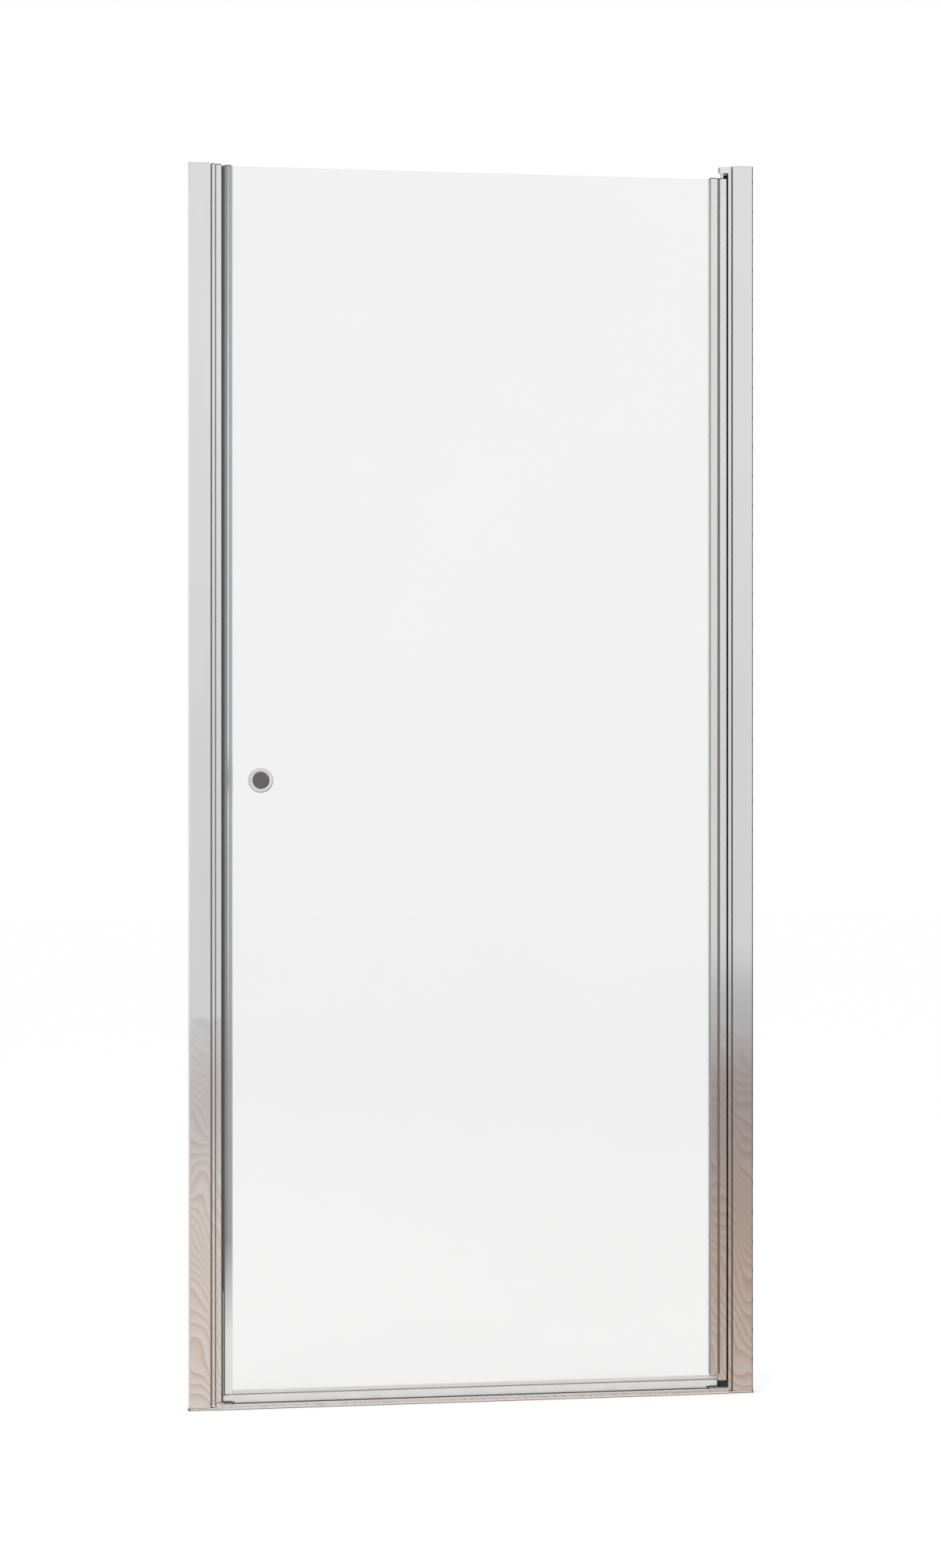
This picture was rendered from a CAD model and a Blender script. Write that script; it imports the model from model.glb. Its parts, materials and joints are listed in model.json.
import json
from math import radians

import bmesh
import bpy
import numpy as np
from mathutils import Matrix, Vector


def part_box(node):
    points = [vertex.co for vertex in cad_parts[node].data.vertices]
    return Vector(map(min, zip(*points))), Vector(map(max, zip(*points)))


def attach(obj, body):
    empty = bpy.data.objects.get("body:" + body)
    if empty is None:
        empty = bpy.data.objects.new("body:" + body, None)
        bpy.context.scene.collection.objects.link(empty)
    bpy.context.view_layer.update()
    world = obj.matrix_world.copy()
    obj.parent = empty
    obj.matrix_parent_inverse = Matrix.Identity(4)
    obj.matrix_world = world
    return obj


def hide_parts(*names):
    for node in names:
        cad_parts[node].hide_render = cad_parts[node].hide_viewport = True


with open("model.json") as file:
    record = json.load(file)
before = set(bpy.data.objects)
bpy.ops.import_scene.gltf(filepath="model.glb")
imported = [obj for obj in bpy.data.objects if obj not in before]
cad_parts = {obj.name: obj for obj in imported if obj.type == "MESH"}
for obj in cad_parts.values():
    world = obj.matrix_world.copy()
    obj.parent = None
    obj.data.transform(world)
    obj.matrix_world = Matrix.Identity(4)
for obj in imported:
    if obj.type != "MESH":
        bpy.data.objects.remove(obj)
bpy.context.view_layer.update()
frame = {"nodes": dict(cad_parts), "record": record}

nodes = frame["nodes"]
print("frame loaded:", len(nodes), "nodes")

# The camera stands level, to the left of the door
cameraSet = {
    "place": (-1.4665, -5.6156, 1.0337),  # metres, at eye height for someone sitting
    "turn": 10.212,  # degrees from +Y towards +X; the camera is level
    "side": 1999,  # pixels of the picture's longer side
    "focal": 4628.1,  # pixels of that side
    "horizon": 52.64,  # pixels from the image centre down to the horizon, negative is up
    "sensor": 36.0,  # millimetres
    "clip": (0.05, 100),
}


def addCamera(values):
    data = bpy.data.cameras.new("doorCamera")
    data.sensor_fit = "VERTICAL"
    data.sensor_height = values["sensor"]
    data.lens = values["focal"] / values["side"] * values["sensor"]
    data.shift_y = -values["horizon"] / values["side"]
    data.clip_start, data.clip_end = values["clip"]
    camera = bpy.data.objects.new("doorCamera", data)
    camera.location = values["place"]
    camera.rotation_euler = (radians(90), 0, -radians(values["turn"]))
    bpy.context.scene.collection.objects.link(camera)
    bpy.context.scene.camera = camera


addCamera(cameraSet)
print("camera set")


# One procedural material on Object coordinates, built node by node
class Finish:
    def __init__(self, name):
        self.material = bpy.data.materials.new(name)
        self.material.use_nodes = True
        self.tree = self.material.node_tree
        self.tree.nodes.clear()
        self.output = self.add("ShaderNodeOutputMaterial")
        self.shader = self.add("ShaderNodeBsdfPrincipled")
        self.join(self.shader.outputs[0], self.output.inputs["Surface"])
        self.coordinates = self.add("ShaderNodeTexCoord")
        self.coords = self.coordinates.outputs["Object"]

    def add(self, kind, **settings):
        node = self.tree.nodes.new(kind)
        for key, value in settings.items():
            setattr(node, key, value)
        return node

    def join(self, source, target):
        self.tree.links.new(source, target)

    def setInputs(self, **values):
        for key, value in values.items():
            self.shader.inputs[key.replace("_", " ")].default_value = value

    # Object coordinates scaled by a factor per axis, in 1/m
    def stretched(self, scale):
        mapping = self.add("ShaderNodeMapping")
        mapping.inputs["Scale"].default_value = scale
        self.join(self.coords, mapping.inputs["Vector"])
        return mapping.outputs[0]

    # Fractal noise with a cell count per metre on each axis
    def noise(self, scale, detail=3.0, roughness=0.5):
        texture = self.add("ShaderNodeTexNoise")
        texture.inputs["Scale"].default_value = 1.0
        texture.inputs["Detail"].default_value = detail
        texture.inputs["Roughness"].default_value = roughness
        self.join(self.stretched(scale), texture.inputs["Vector"])
        return texture.outputs["Fac"]

    # A value or colour read off stops of (place, colour)
    def ramp(self, value, stops):
        ramp = self.add("ShaderNodeValToRGB")
        while len(ramp.color_ramp.elements) < len(stops):
            ramp.color_ramp.elements.new(0.5)
        for element, (place, colour) in zip(ramp.color_ramp.elements, stops):
            element.position = place
            element.color = (*colour, 1.0) if len(colour) == 3 else colour
        self.join(value, ramp.inputs["Fac"])
        return ramp.outputs["Color"]

    # Maps 0-1 onto low-high
    def span(self, value, low, high):
        node = self.add("ShaderNodeMapRange")
        node.inputs["To Min"].default_value = low
        node.inputs["To Max"].default_value = high
        self.join(value, node.inputs["Value"])
        return node.outputs["Result"]

    # The colour, darkened where other surfaces stand close, as in a groove
    def crevice(self, colour, reach, dark, stops):
        near = self.add("ShaderNodeAmbientOcclusion", samples=16)
        near.inputs["Distance"].default_value = reach
        level = self.ramp(near.outputs["AO"], [(stops[0], grey(0.0)), (stops[1], grey(1.0))])
        mix = self.add("ShaderNodeMix", data_type="RGBA")
        self.join(level, mix.inputs["Factor"])
        mix.inputs[6].default_value = (*dark, 1.0)
        self.join(colour, mix.inputs[7])
        self.openness = level
        return mix.outputs[2]

    # Colour read across the piece: the object's coordinate on an axis, from low to high in metres
    def stripes(self, axis, low, high, stops):
        places = self.add("ShaderNodeSeparateXYZ")
        self.join(self.coords, places.inputs[0])
        share = self.add("ShaderNodeMapRange")
        share.inputs["From Min"].default_value = low
        share.inputs["From Max"].default_value = high
        self.join(places.outputs[axis], share.inputs["Value"])
        return self.ramp(share.outputs["Result"], stops)

    # Dark marks up the piece: height / pitch has a whole part and a rest, and where the rest is under
    # the share there is a mark, darkest in its middle
    def marks(self, pitch, share, dark):
        places = self.add("ShaderNodeSeparateXYZ")
        self.join(self.coords, places.inputs[0])
        count = self.add("ShaderNodeMath", operation="DIVIDE")
        count.inputs[1].default_value = pitch
        self.join(places.outputs["Z"], count.inputs[0])
        rest = self.add("ShaderNodeMath", operation="FRACT")
        self.join(count.outputs[0], rest.inputs[0])
        stops = [(0.0, grey(1.0)), (share / 2, grey(dark)), (share, grey(1.0)), (1.0, grey(1.0))]
        return self.ramp(rest.outputs[0], stops)

    # Two colours mixed by a third input, or multiplied when the factor is None
    def blended(self, factor, one, other):
        mix = self.add("ShaderNodeMix", data_type="RGBA")
        if factor is None:
            mix.blend_type = "MULTIPLY"
            mix.inputs["Factor"].default_value = 1.0
        else:
            self.join(factor, mix.inputs["Factor"])
        self.join(one, mix.inputs[6])
        self.join(other, mix.inputs[7])
        return mix.outputs[2]

    def bump(self, height, strength, distance):
        node = self.add("ShaderNodeBump")
        node.inputs["Strength"].default_value = strength
        node.inputs["Distance"].default_value = distance
        self.join(height, node.inputs["Height"])
        self.join(node.outputs["Normal"], self.shader.inputs["Normal"])


def grey(level):
    return (level, level, level)


noneToAll = [(0.0, grey(0.0)), (1.0, grey(1.0))]  # a ramp from black to white
drawLines = {
    "cells": 900.0,  # noise cells per metre across the profile
    "cellsAlong": 3.0,
    "cloudCells": (9.0, 9.0, 2.5),
    "depth": 0.00002,  # metres
    "grooveReach": 0.006,  # how near another surface must be to darken this one, in metres
}


# Polished extrusion: a mirror with faint draw lines along the profile. Its colour is
# (cloud between dark and light) x stripes x marks, dulled to the groove colour where surfaces are near
def brightExtrusion(name, values):
    finish = Finish(name)
    cells = [drawLines["cells"]] * 3
    cells[values["along"]] = drawLines["cellsAlong"]
    lines = finish.noise(cells, 2.0, 0.6)
    cloud = finish.noise(drawLines["cloudCells"], 3.0, 0.55)
    plain = finish.ramp(cloud, [(0.25, values["dark"]), (0.75, values["light"])])
    if "across" in values:
        plain = finish.blended(None, plain, finish.stripes(*values["across"]))
    if "marks" in values:
        marked = finish.blended(None, plain, finish.marks(*values["marks"]))
        plain = finish.blended(finish.stripes("X", *values["markEdge"], noneToAll), plain, marked)
    colour = finish.crevice(plain, drawLines["grooveReach"], values["groove"], values["grooveStops"])
    finish.join(colour, finish.shader.inputs["Base Color"])
    finish.join(finish.span(lines, *values["rough"]), finish.shader.inputs["Roughness"])
    finish.join(finish.span(finish.openness, values["grooveMetal"], 1.0), finish.shader.inputs["Metallic"])
    finish.bump(lines, values["lines"], drawLines["depth"])
    return finish.material


plating = {"cells": (60.0, 60.0, 60.0), "grooveReach": 0.004, "groove": grey(0.05), "grooveStops": (0.3, 0.6)}


# Plated chrome: smooth, with fine haze that varies over the surface. A rim darkens it by its
# distance from an axis along Y, the length of ((x, z) - centre)
def chromePlate(name, values):
    finish = Finish(name)
    haze = finish.noise(plating["cells"], 4.0, 0.6)
    plain = finish.ramp(haze, [(0.3, values["dark"]), (0.7, values["light"])])
    if "rim" in values:  # darker towards the edge of a turned piece
        centre, low, high, edge = values["rim"]
        away = finish.add("ShaderNodeVectorMath", operation="MULTIPLY_ADD")
        away.inputs[1].default_value = (1, 0, 1)
        away.inputs[2].default_value = (-centre[0], 0, -centre[1])
        finish.join(finish.coords, away.inputs[0])
        reach = finish.add("ShaderNodeVectorMath", operation="LENGTH")
        finish.join(away.outputs[0], reach.inputs[0])
        share = finish.add("ShaderNodeMapRange")
        share.inputs["From Min"].default_value = low
        share.inputs["From Max"].default_value = high
        finish.join(reach.outputs["Value"], share.inputs["Value"])
        plain = finish.blended(None, plain, finish.ramp(share.outputs["Result"], [(0.0, grey(1.0)), (1.0, edge)]))
    colour = finish.crevice(plain, plating["grooveReach"], plating["groove"], plating["grooveStops"])
    finish.join(colour, finish.shader.inputs["Base Color"])
    finish.join(finish.span(haze, *values["rough"]), finish.shader.inputs["Roughness"])
    finish.setInputs(Metallic=1.0)
    return finish.material


moulding = {"mottleCells": (35.0, 35.0, 35.0), "grainCells": (2500.0, 2500.0, 2500.0), "grainDepth": 0.00003,
            "grooveReach": 0.004}


# Moulded plastic: a slight mottle and a fine grain, times the tones of its coloured strips, if it has any
def mouldedPlastic(name, values):
    finish = Finish(name)
    mottle = finish.noise(moulding["mottleCells"], 3.0, 0.5)
    grain = finish.noise(moulding["grainCells"], 2.0, 0.5)
    plain = finish.ramp(mottle, [(0.3, values["dark"]), (0.7, values["light"])])
    if "across" in values:  # coloured strips run along the piece, in other tones near its foot
        strips = finish.stripes(*values["across"])
        if "dull" in values:  # at some heights the strips take duller tones
            strips = finish.blended(finish.stripes(*values["dullHeights"]), strips, finish.stripes(*values["dull"]))
        if "footAcross" in values:
            above = finish.stripes("Z", *values["footSpan"], noneToAll)
            strips = finish.blended(above, finish.stripes(*values["footAcross"]), strips)
        plain = finish.blended(None, plain, strips)
    if "groove" in values:
        plain = finish.crevice(plain, moulding["grooveReach"], values["groove"], values["grooveStops"])
    finish.join(plain, finish.shader.inputs["Base Color"])
    finish.join(finish.span(mottle, *values["rough"]), finish.shader.inputs["Roughness"])
    finish.setInputs(Metallic=values.get("metal", 0.0))
    finish.bump(grain, values["grain"], moulding["grainDepth"])
    return finish.material


# Clear glass or clear plastic: it bends what is behind it, and lamps shine through it
def clearSheet(name, values):
    finish = Finish(name)
    cloud = finish.noise(values["cells"], 2.0, 0.5)
    plain = finish.ramp(cloud, [(0.3, values["dark"]), (0.7, values["light"])])
    finish.join(plain, finish.shader.inputs["Base Color"])
    finish.join(finish.span(cloud, *values["rough"]), finish.shader.inputs["Roughness"])
    finish.setInputs(Transmission_Weight=values["clear"], IOR=values["ior"])
    clearing = finish.add("ShaderNodeBsdfTransparent")
    clearing.inputs["Color"].default_value = (*values["shade"], 1.0)
    path = finish.add("ShaderNodeLightPath")
    soft = finish.add("ShaderNodeMath", operation="MAXIMUM")
    finish.join(path.outputs["Is Shadow Ray"], soft.inputs[0])
    finish.join(path.outputs["Is Diffuse Ray"], soft.inputs[1])
    rim = finish.add("ShaderNodeBsdfDiffuse")  # the ground top edge, where the normal points up
    rim.inputs["Color"].default_value = (*values["edge"], 1.0)
    facing = finish.add("ShaderNodeSeparateXYZ")
    finish.join(finish.coordinates.outputs["Normal"], facing.inputs[0])
    upward = finish.add("ShaderNodeMath", operation="GREATER_THAN")
    upward.inputs[1].default_value = values["upright"]
    finish.join(facing.outputs["Z"], upward.inputs[0])
    body = finish.add("ShaderNodeMixShader")
    finish.join(upward.outputs[0], body.inputs["Fac"])
    finish.join(finish.shader.outputs[0], body.inputs[1])
    finish.join(rim.outputs[0], body.inputs[2])
    mix = finish.add("ShaderNodeMixShader")
    finish.join(soft.outputs[0], mix.inputs["Fac"])
    finish.join(body.outputs[0], mix.inputs[1])
    finish.join(clearing.outputs[0], mix.inputs[2])
    finish.join(mix.outputs[0], finish.output.inputs["Surface"])
    return finish.material


# Tones are stops of (share of the way across the piece, colour)
extrusionLook = {"dark": grey(0.70), "light": grey(0.745), "rough": (0.012, 0.03), "lines": 0.015, "along": 2,
                 "groove": (0.40, 0.38, 0.37), "grooveStops": (0.34, 0.66), "grooveMetal": 0.2}
sealLeft, sealRight = (corner[0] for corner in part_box("magnet_seal"))
magnetLeft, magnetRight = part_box("strike_magnet")[0][0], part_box("leaf_magnet")[1][0]
magnetTones = [(0.0, grey(0.062)), (0.36, grey(0.066)), (0.5, grey(0.078)), (0.8, grey(0.09)), (0.93, grey(0.12)),
               (1.0, grey(0.3))]
sealDullHeights = [(0.0, grey(0.85)), (0.27, grey(0.85)), (0.37, grey(0.3)), (0.49, grey(0.1)), (0.505, grey(0.95)),
                   (0.53, grey(0.05)), (0.8, grey(0.0)), (1.0, grey(0.6))]
magnetFootTones = [(0.0, grey(0.05)), (0.38, grey(0.06)), (0.46, grey(0.72)), (0.6, grey(0.72)), (0.68, grey(0.1)),
                   (1.0, grey(0.12))]
sealTones = [(0.0, grey(0.48)), (0.08, grey(0.28)), (0.29, grey(0.28)), (0.37, grey(0.88)), (0.46, grey(0.88)),
             (0.54, grey(0.46)), (0.62, grey(0.38)), (0.8, grey(0.45)), (0.92, grey(0.55)), (0.97, grey(0.9)),
             (1.0, grey(0.9))]
sealDullTones = [(0.0, grey(0.32)), (0.1, grey(0.29)), (0.3, grey(0.28)), (0.42, grey(0.34)), (0.6, grey(0.36)),
                 (0.8, grey(0.42)), (1.0, grey(0.5))]
sealFootTones = [(0.0, grey(0.9)), (0.12, (1.0, 0.97, 0.95)), (0.3, (0.98, 0.94, 0.92)), (0.36, (1.0, 0.97, 0.95)),
                 (0.6, (0.93, 0.9, 0.88)), (1.0, (0.95, 0.93, 0.91))]
beadTones = [(0.0, (0.085, 0.078, 0.073)), (0.44, (0.1, 0.092, 0.086)), (0.54, grey(0.95)), (1.0, grey(0.97))]
beadFootTones = [(0.0, (0.08, 0.074, 0.07)), (0.58, (0.1, 0.092, 0.086)), (0.7, grey(0.9)), (1.0, grey(0.92))]
looks = {
    "bright_aluminium": brightExtrusion("brightAluminium", extrusionLook),
    "stileAluminium": brightExtrusion("stileAluminium", {
        **extrusionLook, "groove": (0.43, 0.39, 0.375), "grooveStops": (0.42, 0.8), "grooveMetal": 0.1}),
    "wallSide": brightExtrusion("wallSide", {
        **extrusionLook, "marks": (0.0468, 0.26, 0.06), "markEdge": (-0.0026, -0.0012),  # pitch, share and tone
        "across": ("X", -0.0036, 0.0, [(0.0, grey(1.0)), (0.4, grey(0.8)), (0.7, grey(0.5)), (1.0, grey(0.4))])}),
    "sillAluminium": brightExtrusion("sillAluminium", {
        **extrusionLook, "along": 0, "grooveStops": (0.02, 0.25),
        "across": ("Z", 0.0009, 0.0012, [(0.0, grey(0.22)), (1.0, grey(1.0))])}),
    "chrome": chromePlate("chromePlate", {"dark": grey(0.74), "light": grey(0.78), "rough": (0.02, 0.06)}),
    "knobChrome": chromePlate("knobChrome", {
        "dark": grey(0.72), "light": grey(0.76), "rough": (0.03, 0.07),
        "rim": ((-0.7877, 0.975), 0.0181, 0.0188, grey(0.42))}),
    "clear_glass": clearSheet("clearGlass", {
        "dark": (0.878, 0.879, 0.879), "light": (0.888, 0.889, 0.889), "rough": (0.0, 0.0),
        "cells": (3.0, 3.0, 3.0), "clear": 1.0, "ior": 1.45, "shade": (0.93, 0.94, 0.935),
        "edge": (0.50, 0.60, 0.56), "upright": 0.7}),  # the ground edge, and how far up its normal points at least
    "clear_seal": mouldedPlastic("clearSeal", {
        "dark": (0.93, 0.96, 0.99), "light": (0.96, 0.985, 1.0), "rough": (0.16, 0.26), "grain": 0.05,
        "across": ("X", sealLeft, sealRight, sealTones), "dull": ("X", sealLeft, sealRight, sealDullTones),
        "dullHeights": ("Z", 0.0, 1.93, sealDullHeights), "footSpan": (0.11, 0.26),
        "footAcross": ("X", sealLeft, sealRight, sealFootTones)}),
    "magnet_strip": mouldedPlastic("magnetStrip", {
        "dark": (0.97, 0.95, 0.93), "light": (1.0, 0.98, 0.96), "rough": (0.2, 0.3), "grain": 0.1,
        "across": ("X", magnetLeft, magnetRight, magnetTones), "footSpan": (0.179, 0.185),
        "footAcross": ("X", magnetLeft, magnetRight, magnetFootTones)}),
    "drip_seal": mouldedPlastic("dripSeal", {
        "dark": (0.84, 0.82, 0.80), "light": (0.90, 0.88, 0.865), "rough": (0.25, 0.35), "grain": 0.1,
        "groove": grey(0.10), "grooveStops": (0.6, 0.95)}),
    "drip_grip": mouldedPlastic("dripGrip", {
        "dark": (0.78, 0.76, 0.75), "light": (0.83, 0.81, 0.80), "rough": (0.25, 0.35), "grain": 0.1}),
    "drip_lip": mouldedPlastic("dripLip", {
        "dark": grey(0.80), "light": grey(0.88), "rough": (0.3, 0.4), "grain": 0.05}),
    "moulded_grey": mouldedPlastic("platedMoulding", {
        "dark": grey(0.55), "light": grey(0.62), "rough": (0.22, 0.3), "metal": 0.8, "grain": 0.15}),
    "sillPlate": mouldedPlastic("sillPlate", {
        "dark": grey(0.26), "light": grey(0.32), "rough": (0.22, 0.3), "metal": 0.4, "grain": 0.15}),
    "black_plastic": mouldedPlastic("blackPlastic", {
        "dark": grey(0.006), "light": grey(0.012), "rough": (0.4, 0.55), "grain": 0.3}),
    "dark_rubber": mouldedPlastic("darkRubber", {
        "dark": grey(0.008), "light": grey(0.016), "rough": (0.55, 0.7), "grain": 0.3}),
    "glazing_bead": mouldedPlastic("glazingBead", {
        "dark": (0.95, 0.945, 0.94), "light": (1.0, 0.995, 0.99), "rough": (0.4, 0.5), "grain": 0.2,
        "across": ("Y", -0.0124, -0.0045, beadTones), "footSpan": (0.6, 1.2),
        "footAcross": ("Y", -0.0124, -0.0045, beadFootTones)}),
    "backBead": mouldedPlastic("backBead", {
        "dark": grey(0.9), "light": grey(0.98), "rough": (0.3, 0.4), "grain": 0.1}),
    "dark_inlay": mouldedPlastic("knobInlay", {
        "dark": (0.10, 0.095, 0.10), "light": (0.13, 0.122, 0.13), "rough": (0.2, 0.28), "grain": 0.1}),
    "steel": chromePlate("pinSteel", {"dark": grey(0.5), "light": grey(0.58), "rough": (0.2, 0.3)}),
    "white_plastic": mouldedPlastic("whitePlastic", {
        "dark": grey(0.72), "light": grey(0.78), "rough": (0.35, 0.45), "grain": 0.15}),
}
nodeLooks = {row["node"]: row["material_slot"] for row in frame["record"]["subparts"]}
nodeLooks["pivot_stile"] = "stileAluminium"
nodeLooks["strike_sill_plate"] = nodeLooks["hinge_sill_plate"] = "sillPlate"
nodeLooks["hinge_wall_channel"] = "wallSide"
nodeLooks["back_glazing_gasket"] = "backBead"
for name, node in nodes.items():
    node.data.materials.clear()
    node.data.materials.append(looks[nodeLooks[name]])
print("finishes on", len(nodes), "nodes")


# A line whose corners are rounded off: each corner P becomes (1-t)^2 (P + c u) + 2 t (1-t) P + t^2 (P + c v),
# where c is the cut at that corner, and u and v point along its two sides
def roundedLine(corners, cuts, steps=6, closed=True):
    corners = np.array(corners, float)
    cuts = np.array(cuts, float)[:, None, None]
    back = np.roll(corners, 1, 0) - corners
    ahead = np.roll(corners, -1, 0) - corners
    back = (back / np.linalg.norm(back, axis=1, keepdims=True))[:, None]
    ahead = (ahead / np.linalg.norm(ahead, axis=1, keepdims=True))[:, None]
    middle = corners[:, None]
    t = np.linspace(0, 1, steps)[None, :, None]
    points = (1 - t) ** 2 * (middle + cuts * back) + 2 * t * (1 - t) * middle + t**2 * (middle + cuts * ahead)
    points = points.reshape(-1, 2)
    if not closed:
        points = np.concatenate((corners[:1], points[steps:-steps], corners[-1:]))
    return points


# Quads between neighbouring rows of a grid, numbered row by row, each row a closed ring
def ringQuads(rows, count):
    low = np.arange(rows - 1)[:, None] * count + np.arange(count)[None]
    after = np.arange(rows - 1)[:, None] * count + (np.arange(count)[None] + 1) % count
    return np.stack((low, after, after + count, low + count), -1).reshape(-1, 4).tolist()


# A section carried along one axis: point (j, i) is section point i at station j, and both ends are closed
def sweptShape(section, axis, stations):
    section, stations = np.array(section), np.array(stations, float)
    grid = np.zeros((len(stations), len(section), 3))
    across = [place for place in range(3) if place != axis]
    grid[:, :, across] = section
    grid[:, :, axis] = stations[:, None]
    points = grid.reshape(-1, 3)
    count = len(section)
    ends = [list(range(count)), list(range(len(points) - count, len(points)))]
    return points, ringQuads(len(stations), count) + ends


# A profile of (radius, reach) turned about the line through centre along Y:
# x = r cos a, y = side * reach, z = r sin a, and a disc closes each end
def turnedShape(profile, centre, side, count=96):
    radius, reach = np.array(profile).T
    angle = np.linspace(0, 2 * np.pi, count, endpoint=False)[None]
    grid = np.stack((radius[:, None] * np.cos(angle), side * reach[:, None] + 0 * angle,
                     radius[:, None] * np.sin(angle)), -1)
    points = grid.reshape(-1, 3) + np.array(centre)
    ends = [list(range(count)), list(range(len(points) - count, len(points)))]
    return points, ringQuads(len(radius), count) + ends


# Several shapes as one list of points and faces
def joined(*shapes):
    points, faces, start = [], [], 0
    for somePoints, someFaces in shapes:
        points.append(somePoints)
        faces += [[corner + start for corner in face] for face in someFaces]
        start += len(somePoints)
    return np.concatenate(points), faces


# Puts a shape into the scene: it rides on a body and stands for the nodes named
def addPiece(name, shape, look, slot, body, *standsFor):
    points, faces = shape
    mesh = bpy.data.meshes.new(name)
    mesh.from_pydata(points.tolist(), [], faces)
    work = bmesh.new()
    work.from_mesh(mesh)
    bmesh.ops.recalc_face_normals(work, faces=work.faces)
    work.to_mesh(mesh)
    work.free()
    mesh.polygons.foreach_set("use_smooth", np.ones(len(mesh.polygons), bool))
    mesh.set_sharp_from_angle(angle=radians(32))
    mesh.materials.append(looks[look])
    piece = bpy.data.objects.new(name, mesh)
    bpy.context.scene.collection.objects.link(piece)
    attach(piece, body)
    if standsFor:
        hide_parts(*standsFor)


millimetre = 0.001
knobSet = {
    "outside": {"radius": 19.1, "side": -1, "face": -4.5},
    "inside": {"radius": 15.0, "side": 1, "face": 1.5},
    "place": (-787.7, 975.0),  # X and Z of the axis
    "ring": 6.0,  # width of the ring round the inlay
    "boltHole": 3.05,
    "foot": (1.0, 3.0),  # where the foot starts and ends, off the glass
    "footInset": 4.0,
    "floor": (5.5, 6.7),  # depth of the bolt's blind hole, and the pocket's floor
    "height": 9.0,
    "crown": 0.25,  # how far the ring and the inlay bulge in the middle
    "inlayGap": 0.1,
    "inlayHeight": 8.2,
    "domeShares": (0.97, 0.8, 0.6, 0.4, 0.2, 0.02),  # shares of the inlay's radius where its dome is worked out
}


# A knob is a profile of foot, rim and dished pocket turned about its bolt. Its inlay is a low dome:
# at share s of its radius it is inlayHeight + crown (1 - s^2) high
def addKnob(name, values):
    this = values[name]
    radius, side = this["radius"], this["side"]
    centre = np.array((values["place"][0], this["face"], values["place"][1])) * millimetre
    hole, height, crown = values["boltHole"], values["height"], values["crown"]
    foot, pocket = radius - values["footInset"], radius - values["ring"]
    footLow, footHigh = values["foot"]
    holeFloor, pocketFloor = values["floor"]
    profile = roundedLine(
        [(hole, holeFloor), (hole, footLow), (foot, footLow), (foot - 0.3, footHigh), (radius, footHigh),
         (radius, height - crown), (radius - values["ring"] / 2, height), (pocket, height - crown),
         (pocket, pocketFloor)], [0, 0.2, 0.3, 0.2, 0.8, 1.2, 1.2, 0.4, 0], 8, closed=False)
    addPiece("knobBody_" + name, turnedShape(profile * millimetre, centre, side, 128), "knobChrome", "chrome",
             "leaf", "knob_" + name)
    inlay, top = pocket - values["inlayGap"], values["inlayHeight"]
    dome = [(share * inlay, top + crown * (1 - share**2)) for share in values["domeShares"]]
    disc = np.array([(inlay - 0.2, pocketFloor), (inlay, pocketFloor + 0.2), (inlay, top - 0.2)] + dome)
    addPiece("knobInlay_" + name, turnedShape(disc * millimetre, centre, side, 96), "dark_inlay", "dark_inlay",
             "leaf", "knob_inlay_" + name)


addKnob("outside", knobSet)
addKnob("inside", knobSet)
print("knobs turned")

sealSet = {
    "shoulder": 5.0,  # how far across the shoulder ends
    "ridge": 5.5,  # how far the shoulder stands out from the middle of the glass
    "leg": 4.3,
    "slot": 3.0,  # half the glass's thickness
    "capReach": 5.2,  # the cap on its top: half its depth
    "capInset": (0.3, 3.0),  # how far the cap stays in from the seal's two edges
    "capDepth": 0.3,  # how far the cap sits in the seal
    "capHeight": 1.0,
    "capCorner": 0.6,
}


# The seal on the free edge is a section carried up Z: a rounded shoulder, and two legs that thin to a lip.
# Half of the section is given as (across, out) from its left edge and the glass's middle, and then mirrored
def addSeal(values):
    low, high = (np.array(corner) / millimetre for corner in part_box("magnet_seal"))
    left, right, middle = low[0], high[0], (low[1] + high[1]) / 2
    ridge, leg, slot, shoulder = values["ridge"], values["leg"], values["slot"], values["shoulder"]
    width, side = right - left, ridge - 0.9
    half = [(1.5, slot), (width, slot), (width - 0.4, slot + 0.5), (width - 3, leg), (shoulder + 1.2, leg),
            (shoulder, ridge - 0.2), (shoulder - 1.6, ridge), (1.2, side), (0, side)]
    cuts = [0.1, 0.1, 0.3, 0.8, 0.6, 0.5, 0.8, 0.5, 0.3]
    corners = half + [(x, -y) for x, y in half[::-1]]
    section = roundedLine(corners, cuts + cuts[::-1]) + (left, middle)
    addPiece("freeEdgeSeal", sweptShape(section * millimetre, 2, np.linspace(low[2], high[2], 9) * millimetre),
             "clear_seal", "clear_seal", "leaf", "magnet_seal")


# A thin dark cap closes the top of the seal: a rounded plate carried up Z, inside the seal's outline
def addSealCap(values):
    low, high = (np.array(corner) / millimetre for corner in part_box("magnet_seal"))
    left, right = low[0] + values["capInset"][0], high[0] - values["capInset"][1]
    middle, reach = (low[1] + high[1]) / 2, values["capReach"]
    corners = [(left, middle - reach), (right, middle - reach), (right, middle + reach), (left, middle + reach)]
    plate = roundedLine(corners, [values["capCorner"]] * 4) * millimetre
    stations = np.array((high[2] - values["capDepth"], high[2] + values["capHeight"])) * millimetre
    addPiece("sealCap", sweptShape(plate, 2, stations), "black_plastic", "black_plastic", "leaf")


addSeal(sealSet)
addSealCap(sealSet)
print("free edge seal drawn")

beadSet = {
    "thickness": 0.45,
    "front": 12.4,  # how far in front of Y = 0 the bead reaches
    "slope": 0.6,  # how far its front edge slopes back
}


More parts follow.
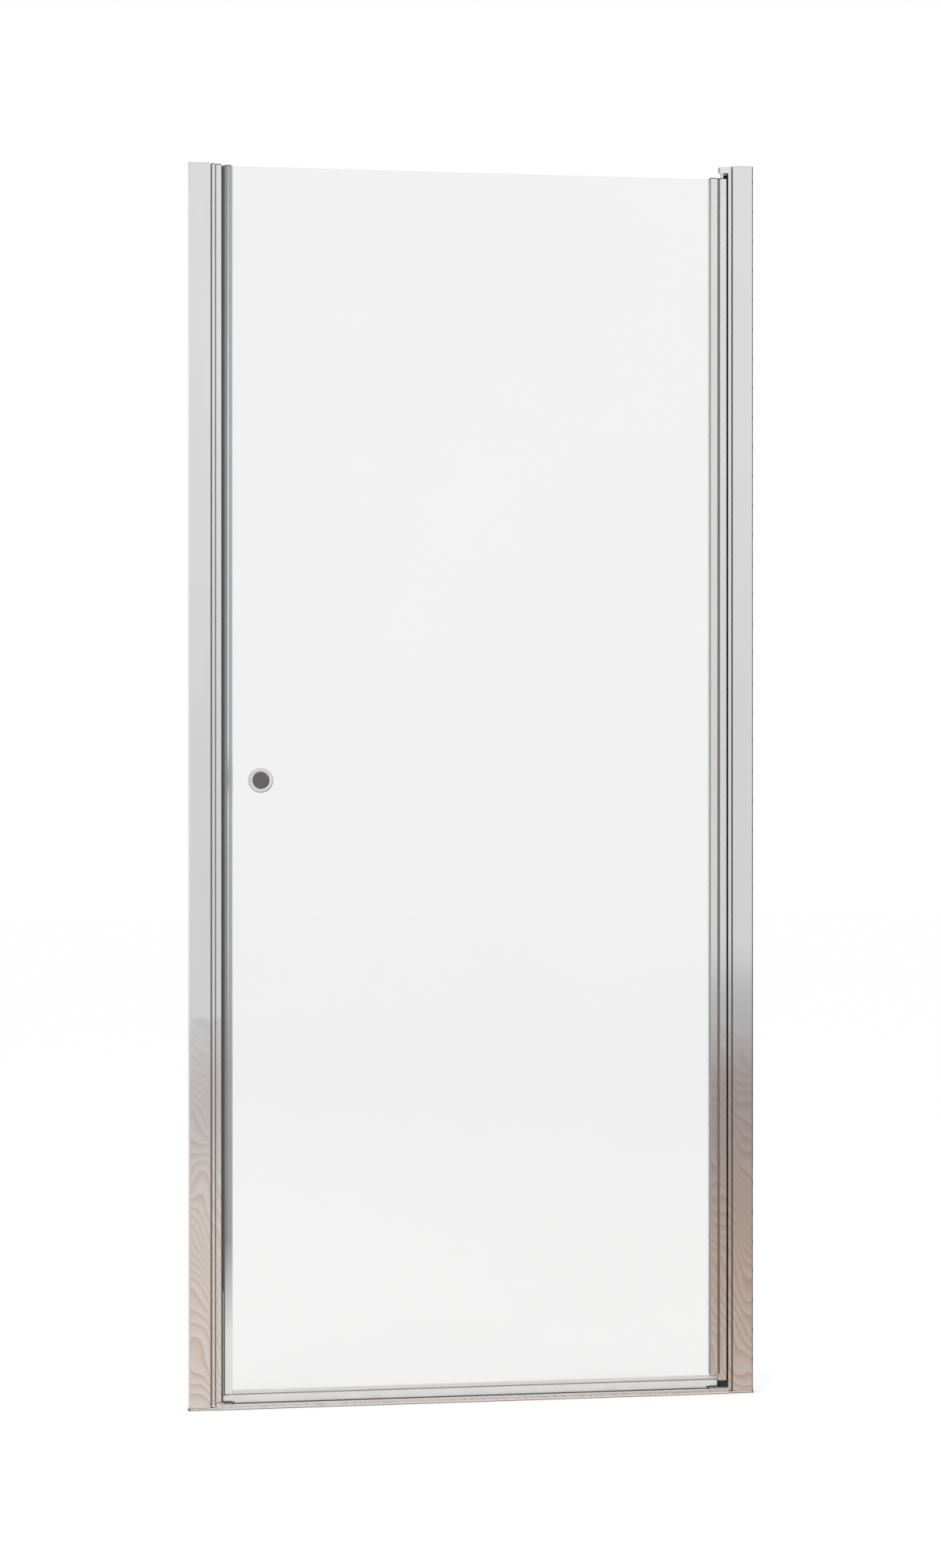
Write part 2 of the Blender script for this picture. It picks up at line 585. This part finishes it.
# The front glazing bead is an L, carried up Z: a strip in the clamp, and a thin leg along the clamp's side
def addBead(values):
    low, high = (np.array(corner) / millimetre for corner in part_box("front_glazing_gasket"))
    side, front = low[0], -values["front"]
    outer = side - values["thickness"]
    section = roundedLine([(side, front), (side, low[1]), (high[0], low[1]), (high[0], high[1]), (outer, high[1]),
                           (outer, front + values["slope"])], [0.05, 0.05, 0.1, 0.1, 0.15, 0.3])
    addPiece("glazingBead", sweptShape(section * millimetre, 2, np.linspace(low[2], high[2], 9) * millimetre),
             "glazing_bead", "dark_rubber", "leaf", "front_glazing_gasket")


addBead(beadSet)
print("glazing bead drawn")

dripSet = {
    "front": -8.5, "back": 4.5, "foot": 11.4, "head": 23.0,
    "notch": (1.2, 2.2),  # height and depth of the step under the grip
    "lip": (-8.3, -7.1, 9.9),  # front, back and lowest edge of the soft lip
    "lipInset": 5.0,
    "slot": (-4.5, 1.5, 25.0, 27.8),  # front, back and foot of the glass in the grip, and the top of its back leg
    "slotPlay": 0.1,
    "legSlope": 1.2,  # how far the tops of the grip's legs slope down
}


# The drip seal is three sections carried along X: the band, a rounded box with a step at its top, the grip,
# a U round the foot of the glass, and the lip, a thin blade under the band's front
def addDripSeal(values):
    low, high = (np.array(corner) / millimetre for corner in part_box("drip_seal_band"))
    front, back, foot, head = values["front"], values["back"], values["foot"], values["head"]
    drop, step = values["notch"]
    box = roundedLine([(front, foot), (back, foot), (back, head), (front + step + 1.4, head),
                       (front + step, head - drop), (front, head - drop - 0.5), (front, (foot + head) / 2)],
                      [1.6, 1.6, 0.6, 0.3, 0.5, 0.8, 1.5])
    stations = np.linspace(low[0], high[0], 17) * millimetre
    addPiece("dripBand", sweptShape(box * millimetre, 0, stations), "drip_seal", "drip_seal", "leaf",
             "drip_seal_band")
    gripLow, gripHigh = (np.array(corner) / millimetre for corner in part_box("drip_seal_grip"))
    slotFront, slotBack, slotFoot, backTop = values["slot"]
    slotFront, slotBack, slope = slotFront - values["slotPlay"], slotBack + values["slotPlay"], values["legSlope"]
    grip = roundedLine([(gripLow[1], head), (gripHigh[1], head), (gripHigh[1], backTop - slope), (slotBack, backTop),
                        (slotBack, slotFoot), (slotFront, slotFoot), (slotFront, gripHigh[2]),
                        (gripLow[1], gripHigh[2] - slope)], [0.1, 0.1, 0.3, 0.05, 0.3, 0.3, 0.05, 0.3])
    stations = np.linspace(gripLow[0], gripHigh[0], 17) * millimetre
    addPiece("dripGrip", sweptShape(grip * millimetre, 0, stations), "drip_grip", "drip_seal", "leaf",
             "drip_seal_grip")
    lipFront, lipBack, lipFoot = values["lip"]
    blade = roundedLine([(lipFront, foot + 1.0), (lipFront, lipFoot), (lipBack, lipFoot), (lipBack, foot + 1.0)],
                        [0.1, 0.4, 0.4, 0.1])
    start, end = (corner[0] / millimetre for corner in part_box("sill_bar"))
    stations = np.linspace(start + values["lipInset"], end - values["lipInset"], 9) * millimetre
    addPiece("dripLip", sweptShape(blade * millimetre, 0, stations), "drip_lip", "drip_seal", "leaf")


addDripSeal(dripSet)
print("drip seal drawn")

sillSet = {
    "front": -15.0, "back": 13.0, "top": 8.6,
    "nose": 1.8,  # how far the round front cuts into the corner
    "groove": (3.5, 0.8, 0.7),  # level, height and depth of the groove along the front
    "stop": (9.5, 11.1, 14.0),  # front, back and top of the water stop
    "seam": 0.3,  # gap between the bar and the mouldings at its ends
    "plugWidth": 1.6,
    "toe": (-12.9, 13.0, 3.4),  # front, back and top of the thin toe under a wall channel
    "toeCutBack": -7.0,  # its front beside the plug
    "bossInset": 1.9,  # how far the boss on the strike end stays in from the holder
    "bossHeights": (2.0, 11.3),
    "bossCuts": (3.6, 0.4),
    "bossDepths": (-15.0, -14.6, 12.6, 13.0),
}


# The sill's section as corners (y, z), rounded off: a round nose, a fine groove and a sloping toe in front
def sillSection(values, withStop):
    front, back, top = values["front"], values["back"], values["top"]
    level, height, depth = values["groove"]
    low, high = level - height / 2, level + height / 2
    corners = [(front + 0.5, 0), (front, 1.0), (front + depth, low - 0.4), (front + depth, high),
               (front + 0.2, high + 0.2), (front + 0.2, top), (back, top), (back, 0)]
    cuts = [0.2, 0.4, 0.15, 0.15, 0.2, values["nose"] * 0.8, 0.5, 0.3]
    if withStop:
        stopFront, stopBack, stopTop = values["stop"]
        corners[6:6] = [(stopFront, top), (stopFront, stopTop), (stopBack, stopTop), (stopBack, top)]
        cuts[6:6] = [0.5, 0.6, 0.6, 0.5]
    return roundedLine(corners, cuts)


# One length of sill: the section carried along X from low to high, with any other shapes joined on
def addSill(values, name, node, low, high, withStop, *more):
    shape = sweptShape(sillSection(values, withStop) * millimetre, 0, np.linspace(low, high, 9))
    addPiece(name, joined(shape, *more), "sillAluminium", "chrome" if more else "bright_aluminium", "frame", node)


# The thin toe under a wall channel, as a rounded bar along X, cut back in front of its plug
def toeShape(values, low, high, plugLow, plugHigh):
    front, back, top = values["toe"]
    cutBack = values["toeCutBack"]
    main = roundedLine([(front, 0.15), (front + 0.3, top), (back, top), (back, 0.0)], [0.3, 0.3, 0.1, 0.1])
    rear = roundedLine([(cutBack, 0.0), (cutBack, top), (back, top), (back, 0.0)], [0.1, 0.1, 0.1, 0.1])
    return (sweptShape(main * millimetre, 0, (low, high)), sweptShape(rear * millimetre, 0, (plugLow, plugHigh)))


# The bar, and the moulding at each of its ends. The strike end also has a boss, a rounded block carried along Y
def addSills(values):
    barLow, barHigh = (corner[0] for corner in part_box("sill_bar"))
    seam, plug = values["seam"] * millimetre, values["plugWidth"] * millimetre
    addSill(values, "sillLength", "sill_bar", barLow + seam, barHigh - seam, True)
    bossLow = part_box("strike_magnet_holder")[0][0] + values["bossInset"] * millimetre
    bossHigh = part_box("strike_sill_plate")[0][0]
    foot, head = np.array(values["bossHeights"]) * millimetre
    outer, inner = np.array(values["bossCuts"]) * millimetre
    boss = roundedLine([(bossLow, foot), (bossLow, head), (bossHigh, head), (bossHigh, foot)],
                       [outer, outer, inner, inner], 8)
    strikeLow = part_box("strike_sill_end")[0][0]
    addSill(values, "strikeSillMoulding", "strike_sill_end", bossLow, barLow, False,
            sweptShape(boss, 1, np.array(values["bossDepths"]) * millimetre),
            *toeShape(values, strikeLow + plug, bossLow, strikeLow, strikeLow + plug))
    headLow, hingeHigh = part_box("hinge_sill_plate")[1][0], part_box("hinge_sill_end")[1][0]
    addSill(values, "hingeSillMoulding", "hinge_sill_end", barHigh, headLow, False,
            *toeShape(values, headLow, hingeHigh - plug, hingeHigh - plug, hingeHigh))


addSills(sillSet)
print("sill drawn")

screwSet = {
    "hinge": {"heights": (75.0, 675.0, 1275.0, 1875.0), "wall": 0.0, "inward": -1.0},
    "strike": {"heights": (75.0, 669.0, 1263.0, 1857.0), "wall": -900.0, "inward": 1.0},
    "shank": 2.5,
    "head": 4.2,
    "web": 1.8,  # thickness of the channel's web
}


# A wall screw: a shank that ends at the wall and a domed head on the channel's web, turned about X:
# (x, y, z) = (wall + inward reach, r cos a, height + r sin a)
def addScrews(values):
    shank, head, web = values["shank"], values["head"], values["web"]
    profile = np.array([(shank, 0.05), (shank, web), (head, web + 0.05), (head, web + 0.7), (head * 0.9, web + 1.6),
                        (head * 0.55, web + 2.3), (0.9, web + 2.5), (0.85, web + 1.3)])
    for jamb in ("hinge", "strike"):
        this = values[jamb]
        heads = []
        for height in this["heights"]:
            points, faces = turnedShape(profile * millimetre, (0, 0, 0), 1.0, 32)
            turned = np.column_stack((this["wall"] * millimetre + this["inward"] * points[:, 1], points[:, 0],
                                      height * millimetre + points[:, 2]))
            heads.append((turned, faces))
        addPiece(jamb + "WallScrews", joined(*heads), "steel", "steel", "frame")


addScrews(screwSet)
print("wall screws turned")

# Floor, white surround, and the cards that only mirrors see. Lengths are in metres
studio = {
    "floorReach": 16,
    "floorDrop": 0.0003,  # how far the floor lies under the door, so that the two don't flicker
    "floorLevel": 0.80,
    "floorRoughness": 0.9,
    "floorGlow": 0.385,  # what the floor adds for the rays that see the background
    "skyLight": 0.72,
    "cardReach": 8,  # how far the cards run to each side
    "cardDistance": 8.0,  # from the door to the upright card
    "cardHeight": 6,
    "cardFade": (0.0, 3.2),  # heights between which it goes from its foot's tone to its top's
    "cardTop": (0.985, 0.985, 0.99),
    "cardFoot": (0.87, 0.87, 0.875),
    "bandGap": 0.01,  # a low band stands in front of the upright card, darker at its foot on the right
    "bandHeight": 0.3,
    "bandSides": (0.0, 2.0),  # X places between which its left tone goes over to its right tone
    "bandLeft": (0.87, 0.87, 0.875),
    "bandRight": (0.62, 0.62, 0.62),
    "bandTop": (0.874, 0.874, 0.879),
    "cardLift": 0.0002,  # the lying cards lie just over the floor: one is far off and grey, one near and warm
    "lyingSeam": -4.6,  # Y place where they meet
    "nearFade": -0.6,  # Y place where the near one reaches its last tone
    "lyingEnd": -0.016,
    "lyingSides": (-0.8, 0.6),  # X places between which their left tones go over to their right ones
    "nearLeft": (0.86, 0.77, 0.71),
    "nearRight": (0.58, 0.45, 0.365),
    "middleLeft": (0.76, 0.727, 0.72),
    "middleRight": (0.46, 0.40, 0.385),
    "farLeft": (0.90, 0.90, 0.90),
    "farRight": (0.60, 0.60, 0.60),
    "flag": (0.02, 0.02, 0.02),  # dark cards at the sides, which draw the edges: one on the floor, two upright
    "flagTop": (0.25, 0.25, 0.25),
    "rightShade": [(0.05, -0.02, 0.0004), (6, -5, 0.0004), (6, -0.5, 0.0004), (0.06, -0.01, 0.0004)],
    "rightFlag": [(3, -2.4, 0), (3, 1.6, 0), (3, 1.6, 4), (3, -2.4, 4)],
    "leftFlag": [(-4, -2.0, 2.42), (-4, 12.0, 3.35), (-4, 12.0, 7), (-4, -2.0, 7)],
    "flagFade": (0.2, 1.6),
    "grainLight": (1.06, 1.07, 1.09),  # the lying cards have a timber grain, which the bright metal shows
    "grainDark": (0.86, 0.75, 0.67),
    "grainCells": (13.0, 7.0),  # noise cells per metre of the door, across and up
    "grainDetail": 1.2,
    "grainRings": 10.0,
    "grainEdge": 2.2,  # how narrow a ring's dark edge is
    "grainSlope": (62.0, 50.0),  # rings per metre across and up
    "grainTop": (0.72, 0.45),  # the grain fades out between these heights on the door
}


# A node that works out first (kind) second; a value is a number or another node's output
def mathNode(tree, kind, first, second):
    node = tree.nodes.new("ShaderNodeMath")
    node.operation = kind
    for socket, value in zip(node.inputs, (first, second)):
        if isinstance(value, float):
            socket.default_value = value
        else:
            tree.links.new(value, socket)
    return node.outputs[0]


# 1 for the rays that show the background: camera, glossy and transmission
def backgroundRays(tree):
    path = tree.nodes.new("ShaderNodeLightPath").outputs
    seen = mathNode(tree, "MAXIMUM", path["Is Camera Ray"], path["Is Glossy Ray"])
    return mathNode(tree, "MAXIMUM", seen, path["Is Transmission Ray"])


# An even soft light for the door, and plain white for the rays that show the background
def addSky(values):
    world = bpy.data.worlds.new("studioSky")
    bpy.context.scene.world = world
    world.use_nodes = True
    tree = world.node_tree
    light = tree.nodes["Background"]
    light.inputs["Color"].default_value = (1, 1, 1, 1)
    light.inputs["Strength"].default_value = values["skyLight"]
    white = tree.nodes.new("ShaderNodeBackground")
    white.inputs["Color"].default_value = (1, 1, 1, 1)
    white.inputs["Strength"].default_value = 1.0
    mix = tree.nodes.new("ShaderNodeMixShader")
    tree.links.new(backgroundRays(tree), mix.inputs["Fac"])
    tree.links.new(light.outputs[0], mix.inputs[1])
    tree.links.new(white.outputs[0], mix.inputs[2])
    tree.links.new(mix.outputs[0], tree.nodes["World Output"].inputs["Surface"])


# One four-sided face of the stage, with a material of its own
def flatPiece(name, corners):
    mesh = bpy.data.meshes.new(name)
    mesh.from_pydata(corners, [], [(0, 1, 2, 3)])
    piece = bpy.data.objects.new(name, mesh)
    bpy.context.scene.collection.objects.link(piece)
    look = bpy.data.materials.new(name)
    look.use_nodes = True
    mesh.materials.append(look)
    return piece, look.node_tree


# A pale floor that keeps the shadow, with a glow added for the rays that see the background
def addFloor(values):
    half = values["floorReach"]
    floor, tree = flatPiece("studioFloor", [(-half, -half, 0), (half, -half, 0), (half, half, 0), (-half, half, 0)])
    floor.location.z = -values["floorDrop"]
    shader = tree.nodes["Principled BSDF"]
    shader.inputs["Base Color"].default_value = (*grey(values["floorLevel"]), 1)
    shader.inputs["Roughness"].default_value = values["floorRoughness"]
    glow = tree.nodes.new("ShaderNodeEmission")
    strength = mathNode(tree, "MULTIPLY", backgroundRays(tree), values["floorGlow"])
    tree.links.new(strength, glow.inputs["Strength"])
    both = tree.nodes.new("ShaderNodeAddShader")
    tree.links.new(shader.outputs[0], both.inputs[0])
    tree.links.new(glow.outputs[0], both.inputs[1])
    tree.links.new(both.outputs[0], tree.nodes["Material Output"].inputs["Surface"])


# Timber grain: a ring is a whole step of (noise x rings + slope x place), pale first and dark at its edge.
# It is laid out as the door mirrors it: with k = d / (d - y), it reads (x k, h (1 - k)), where
# d is the viewer's distance and h the viewer's height
def grainColour(tree, places, colour, values, blend):
    distance, height = -cameraSet["place"][1], cameraSet["place"][2]
    shrink = mathNode(tree, "DIVIDE", distance, mathNode(tree, "SUBTRACT", distance, places.outputs["Y"]))
    across = mathNode(tree, "ADD", places.outputs["X"], -cameraSet["place"][0])
    lateral = mathNode(tree, "MULTIPLY", across, shrink)
    up = mathNode(tree, "MULTIPLY", mathNode(tree, "SUBTRACT", 1.0, shrink), height)
    spot = tree.nodes.new("ShaderNodeCombineXYZ")
    for socket, value, cells in zip(spot.inputs, (lateral, up), values["grainCells"]):
        tree.links.new(mathNode(tree, "MULTIPLY", value, cells), socket)
    noise = tree.nodes.new("ShaderNodeTexNoise")
    noise.inputs["Scale"].default_value = 1.0
    noise.inputs["Detail"].default_value = values["grainDetail"]
    tree.links.new(spot.outputs[0], noise.inputs["Vector"])
    slope = mathNode(tree, "ADD", mathNode(tree, "MULTIPLY", lateral, values["grainSlope"][0]),
                     mathNode(tree, "MULTIPLY", up, values["grainSlope"][1]))
    waves = mathNode(tree, "MULTIPLY", noise.outputs["Fac"], values["grainRings"])
    ring = mathNode(tree, "FRACT", mathNode(tree, "ADD", waves, slope), 0.0)
    edge = mathNode(tree, "POWER", ring, values["grainEdge"])
    top, full = values["grainTop"]
    fade = tree.nodes.new("ShaderNodeMapRange")
    fade.inputs["From Min"].default_value = top
    fade.inputs["From Max"].default_value = full
    tree.links.new(up, fade.inputs["Value"])
    tint = blend(mathNode(tree, "MULTIPLY", edge, fade.outputs["Result"]), values["grainLight"], values["grainDark"])
    mix = tree.nodes.new("ShaderNodeMix")
    mix.data_type = "RGBA"
    mix.blend_type = "MULTIPLY"
    mix.inputs["Factor"].default_value = 1.0
    tree.links.new(colour, mix.inputs[6])
    tree.links.new(tint, mix.inputs[7])
    return mix.outputs[2]


# A card that only mirrors see, shaded from a first to a last colour between two places on an axis.
# Across is (places on X, first and last colour at the second place), when the two sides differ
def mirrorCard(name, corners, axis, ends, first, last, across=None, grain=None):
    card, tree = flatPiece(name, corners)
    tree.nodes.remove(tree.nodes["Principled BSDF"])
    places = tree.nodes.new("ShaderNodeSeparateXYZ")
    tree.links.new(tree.nodes.new("ShaderNodeTexCoord").outputs["Object"], places.inputs[0])

    def share(along, low, high):
        spread = tree.nodes.new("ShaderNodeMapRange")
        spread.interpolation_type = "SMOOTHSTEP"
        spread.inputs["From Min"].default_value = low
        spread.inputs["From Max"].default_value = high
        tree.links.new(places.outputs[along], spread.inputs["Value"])
        return spread.outputs["Result"]

    def blend(factor, one, other):
        mix = tree.nodes.new("ShaderNodeMix")
        mix.data_type = "RGBA"
        tree.links.new(factor, mix.inputs["Factor"])
        for socket, colour in ((mix.inputs[6], one), (mix.inputs[7], other)):
            if isinstance(colour, tuple):
                socket.default_value = (*colour, 1)
            else:
                tree.links.new(colour, socket)
        return mix.outputs[2]

    if across:
        side = share("X", *across[0])
        first, last = blend(side, first, across[1]), blend(side, last, across[2])
    colour = blend(share(axis, *ends), first, last)
    if grain:
        colour = grainColour(tree, places, colour, grain, blend)
    glow = tree.nodes.new("ShaderNodeEmission")
    tree.links.new(colour, glow.inputs["Color"])
    tree.links.new(glow.outputs[0], tree.nodes["Material Output"].inputs["Surface"])
    card.visible_camera = False
    card.visible_diffuse = False
    card.visible_shadow = False
    card.visible_transmission = False


# Corners of a card that stands at a Y place, or lies between two
def standing(values, place, height):
    reach = values["cardReach"]
    return [(-reach, place, 0), (reach, place, 0), (reach, place, height), (-reach, place, height)]


def lying(values, low, high):
    reach, lift = values["cardReach"], values["cardLift"]
    return [(-reach, low, lift), (reach, low, lift), (reach, high, lift), (-reach, high, lift)]


def addCards(values):
    away, seam = -values["cardDistance"], values["lyingSeam"]
    mirrorCard("uprightCard", standing(values, away, values["cardHeight"]), "Z", values["cardFade"],
               values["cardFoot"], values["cardTop"])
    mirrorCard("bandCard", standing(values, away + values["bandGap"], values["bandHeight"]), "Z",
               (0.0, values["bandHeight"]), values["bandLeft"], values["bandTop"],
               (values["bandSides"], values["bandRight"], values["bandTop"]))
    mirrorCard("farCard", lying(values, away, seam), "Y", (away, seam), values["farLeft"], values["middleLeft"],
               (values["lyingSides"], values["farRight"], values["middleRight"]), values)
    mirrorCard("nearCard", lying(values, seam, values["lyingEnd"]), "Y", (seam, values["nearFade"]),
               values["middleLeft"], values["nearLeft"],
               (values["lyingSides"], values["middleRight"], values["nearRight"]), values)
    flag = values["flag"]
    mirrorCard("rightShade", values["rightShade"], "Z", (0, 4), flag, flag)
    mirrorCard("rightFlag", values["rightFlag"], "Z", values["flagFade"], flag, values["flagTop"])
    mirrorCard("leftFlag", values["leftFlag"], "Z", (2, 4), flag, flag)


addSky(studio)
addFloor(studio)
addCards(studio)
print("floor, surround and cards set")

lampSet = {
    "aim": (-0.45, 0, 1.0),  # the middle of the door
    "softKey": {"place": (-3.2, -4.2, 4.0), "size": (3.0, 3.0), "power": 55.0},  # watts
    "softFill": {"place": (2.6, -3.6, 2.4), "size": (2.4, 2.4), "power": 22.0},
}


# A square soft lamp that lights the door and doesn't show in it
def addLamp(name, values):
    this = values[name]
    data = bpy.data.lights.new(name, "AREA")
    data.shape = "RECTANGLE"
    data.size, data.size_y = this["size"]
    data.energy = this["power"]
    lamp = bpy.data.objects.new(name, data)
    lamp.location = this["place"]
    lamp.rotation_euler = (Vector(values["aim"]) - Vector(this["place"])).to_track_quat("-Z", "Y").to_euler()
    bpy.context.scene.collection.objects.link(lamp)
    lamp.visible_glossy = False
    lamp.visible_camera = False
    lamp.visible_transmission = False


addLamp("softKey", lampSet)
addLamp("softFill", lampSet)
bpy.context.scene.view_settings.view_transform = "Standard"
print("lamps set")
